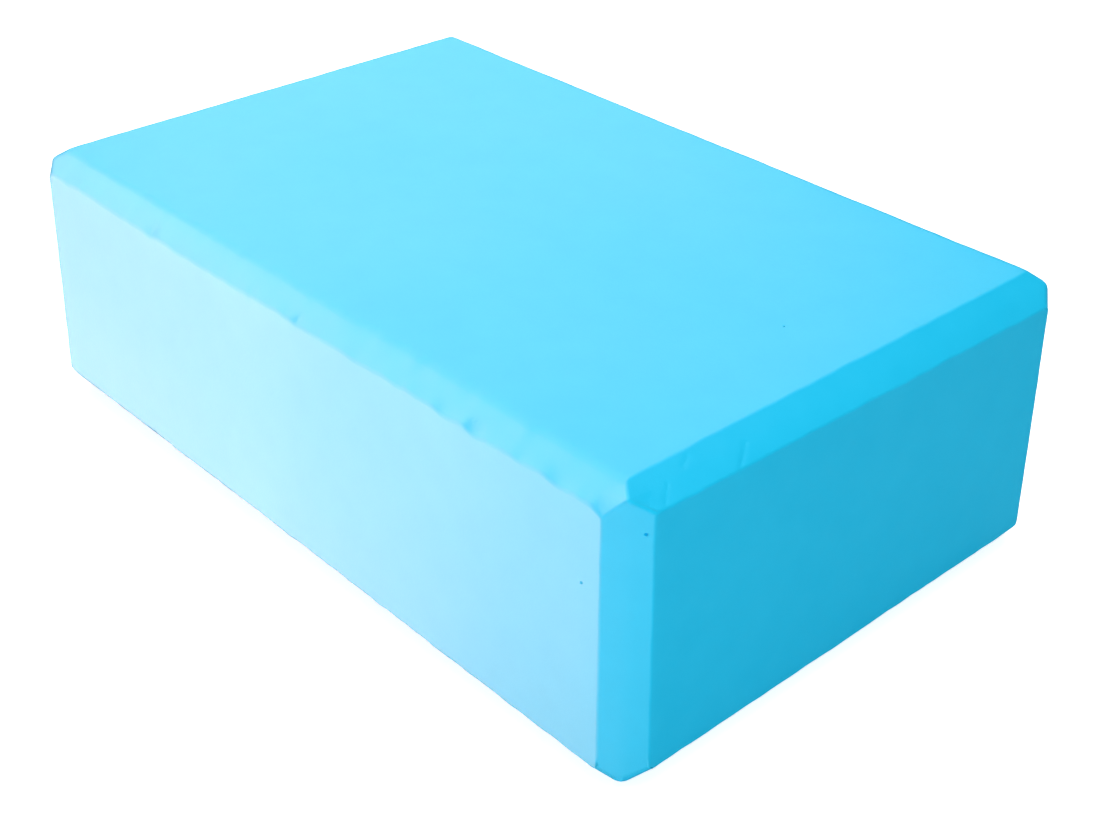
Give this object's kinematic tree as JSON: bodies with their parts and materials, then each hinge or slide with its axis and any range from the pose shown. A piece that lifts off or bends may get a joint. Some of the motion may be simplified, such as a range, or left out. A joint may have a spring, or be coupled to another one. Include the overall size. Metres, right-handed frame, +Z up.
{
  "type": "foam block",
  "caption": "Rectangular closed-cell foam exercise block with flat bevels along every edge and mitred corners.",
  "frame": {"origin": "middle of the underside", "axes": "+X along the length, +Y across the width, +Z up through the thickness"},
  "size_m": [0.229, 0.146, 0.075],
  "materials": {
    "foam": "matte sky-blue closed-cell foam with a fine cut grain"
  },
  "bodies": {
    "root": {"foam_block": "foam"}
  },
  "joints": []
}
